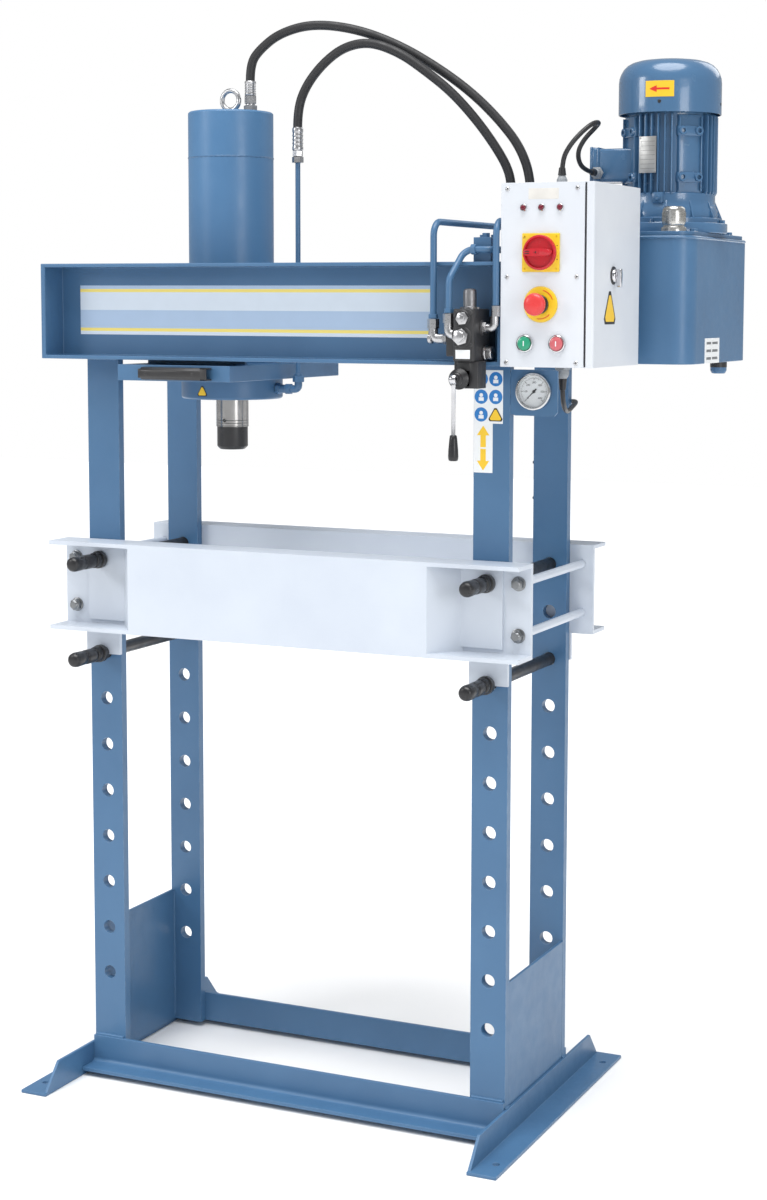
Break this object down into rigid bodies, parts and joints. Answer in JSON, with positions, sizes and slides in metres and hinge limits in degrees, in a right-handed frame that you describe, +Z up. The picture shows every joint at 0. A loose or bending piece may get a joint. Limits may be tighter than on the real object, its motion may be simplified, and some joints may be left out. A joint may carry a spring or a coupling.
{
  "type": "hydraulic shop press",
  "caption": "Floor-standing H-frame hydraulic workshop press with a sliding cylinder, height-adjustable bed, hand valve and motor-driven power unit.",
  "frame": {"origin": "on the floor, at the centre of the four anchor holes in the feet", "axes": "+X to the right as the operator faces the press, +Y to the rear, +Z up"},
  "size_m": [1.259, 0.786, 2.1272],
  "materials": {
    "frame_blue": "textured satin paint",
    "bed_grey": "satin paint",
    "hose_rubber": "matt",
    "valve_black": "satin",
    "plated_steel": "bright zinc plate",
    "pipe_steel": "painted with the frame",
    "gauge_case": "polished",
    "gauge_glass": "clear",
    "box_grey": "powder coat",
    "switch_yellow": "gloss",
    "tank_paint": "satin paint",
    "motor_blue": "textured satin paint",
    "pump_aluminium": "cast",
    "gland_nylon": "moulded",
    "cable_jacket": "satin",
    "plug_plastic": "moulded",
    "black_steel": "black oxide",
    "machined_steel": "ground",
    "ram_chrome": "hard chrome",
    "lever_chrome": "bright",
    "needle_black": "matt",
    "switch_red": "gloss",
    "start_green": "gloss",
    "stop_red": "gloss",
    "lock_chrome": "bright",
    "breather_metal": "plated"
  },
  "bodies": {
    "press_frame": {"upright_front_left": "frame_blue", "upright_front_right": "frame_blue", "upright_rear_left": "frame_blue", "upright_rear_right": "frame_blue", "top_beam_front": "frame_blue", "top_beam_rear": "frame_blue", "foot_left": "frame_blue", "foot_right": "frame_blue", "side_plate_left": "frame_blue", "side_plate_right": "frame_blue", "base_rail_front": "frame_blue", "base_rail_rear": "frame_blue", "bed_channel_front": "bed_grey", "bed_channel_rear": "bed_grey", "bed_tie_rods": "bed_grey", "hose_upper": "hose_rubber", "hose_lower": "hose_rubber", "valve_body": "valve_black", "valve_fittings": "plated_steel", "hydraulic_pipes": "pipe_steel", "gauge_case": "gauge_case", "gauge_glass": "gauge_glass", "enclosure": "box_grey", "panel_fittings": "switch_yellow", "oil_tank": "tank_paint", "tank_lid": "tank_paint", "motor_housing": "motor_blue", "fan_cowl": "motor_blue", "gear_pump": "pump_aluminium", "cable_glands": "gland_nylon", "motor_cable": "cable_jacket", "mains_cable": "cable_jacket", "mains_coil": "cable_jacket", "mains_plug": "plug_plastic"},
    "carriage": {"carriage_plate": "frame_blue", "carriage_handle": "black_steel", "cylinder_tube": "frame_blue", "cylinder_head": "frame_blue", "eyebolt": "plated_steel", "cylinder_fittings": "plated_steel"},
    "ram": {"piston": "machined_steel", "ram_rod": "ram_chrome", "ram_nose": "black_steel"},
    "pin_lower_left": {"pin_lower_left": "black_steel"},
    "pin_lower_right": {"pin_lower_right": "black_steel"},
    "pin_upper_left": {"pin_upper_left": "black_steel"},
    "pin_upper_right": {"pin_upper_right": "black_steel"},
    "lever": {"valve_lever": "lever_chrome"},
    "spool": {"valve_spool": "machined_steel"},
    "needle": {"gauge_needle": "needle_black"},
    "switch": {"switch_knob": "switch_red"},
    "emergency_stop": {"estop_button": "switch_red"},
    "start": {"start_button": "start_green"},
    "stop": {"stop_button": "stop_red"},
    "door": {"enclosure_door": "box_grey"},
    "lock": {"door_lock": "lock_chrome"},
    "breather": {"breather_cap": "breather_metal"},
    "rotor": {"motor_rotor": "machined_steel", "drive_gear": "machined_steel"},
    "driven": {"driven_gear": "machined_steel"}
  },
  "joints": [
    {"name": "carriage_slide", "type": "slide", "parent": "press_frame", "child": "carriage", "axis": [1, 0, 0], "range_m": [-0.03, 0.36], "deforming": ["hose_upper", "hose_lower"]},
    {"name": "ram_slide", "type": "slide", "parent": "carriage", "child": "ram", "axis": [0, 0, -1], "range_m": [0, 0.25]},
    {"name": "pin_lower_left_slide", "type": "slide", "parent": "press_frame", "child": "pin_lower_left", "axis": [0, -1, 0], "range_m": [0, 0.4]},
    {"name": "pin_lower_right_slide", "type": "slide", "parent": "press_frame", "child": "pin_lower_right", "axis": [0, -1, 0], "range_m": [0, 0.4]},
    {"name": "pin_upper_left_slide", "type": "slide", "parent": "press_frame", "child": "pin_upper_left", "axis": [0, -1, 0], "range_m": [0, 0.4]},
    {"name": "pin_upper_right_slide", "type": "slide", "parent": "press_frame", "child": "pin_upper_right", "axis": [0, -1, 0], "range_m": [0, 0.4]},
    {"name": "lever_tilt", "type": "hinge", "parent": "press_frame", "child": "lever", "pos_m": [0.405, -0.271, 1.441], "axis": [1, 0, 0], "range_deg": [-12, 12], "stiffness_Nm_per_rad": 3},
    {"name": "spool_slide", "type": "slide", "parent": "press_frame", "child": "spool", "axis": [0, 0, 1], "range_m": [-0.0062, 0.0062]},
    {"name": "needle_turn", "type": "hinge", "parent": "press_frame", "child": "needle", "pos_m": [0.504, -0.165, 1.4165], "axis": [0, 1, 0], "range_deg": [0, 270], "stiffness_Nm_per_rad": 0.0005},
    {"name": "switch_turn", "type": "hinge", "parent": "press_frame", "child": "switch", "pos_m": [0.545, -0.25, 1.665], "axis": [0, 1, 0], "range_deg": [0, 90]},
    {"name": "emergency_press", "type": "slide", "parent": "press_frame", "child": "emergency_stop", "axis": [0, 1, 0], "range_m": [0, 0.006]},
    {"name": "start_press", "type": "slide", "parent": "press_frame", "child": "start", "axis": [0, 1, 0], "range_m": [0, 0.003], "stiffness_N_per_m": 400},
    {"name": "stop_press", "type": "slide", "parent": "press_frame", "child": "stop", "axis": [0, 1, 0], "range_m": [0, 0.003], "stiffness_N_per_m": 400},
    {"name": "door_swing", "type": "hinge", "parent": "press_frame", "child": "door", "pos_m": [0.631, 0.012, 1.625], "axis": [0, 0, 1], "range_deg": [0, 95]},
    {"name": "lock_turn", "type": "hinge", "parent": "door", "child": "lock", "pos_m": [0.64, -0.138, 1.626], "axis": [1, 0, 0], "range_deg": [0, 90]},
    {"name": "breather_turn", "type": "hinge", "parent": "press_frame", "child": "breather", "pos_m": [0.684, 0.086, 1.735], "axis": [0, 0, 1], "range_deg": [0, 90]},
    {"name": "rotor_spin", "type": "hinge", "parent": "press_frame", "child": "rotor", "pos_m": [0.628, 0.226, 1.85], "axis": [0, 0, 1], "continuous": true},
    {"name": "driven_spin", "type": "hinge", "parent": "press_frame", "child": "driven", "pos_m": [0.664, 0.226, 1.625], "axis": [0, 0, 1], "continuous": true}
  ],
  "couplings": [
    {"joint": "spool_slide", "follows": "lever_tilt", "m_per_rad": 0.02865},
    {"joint": "driven_spin", "follows": "rotor_spin", "ratio": -1}
  ]
}
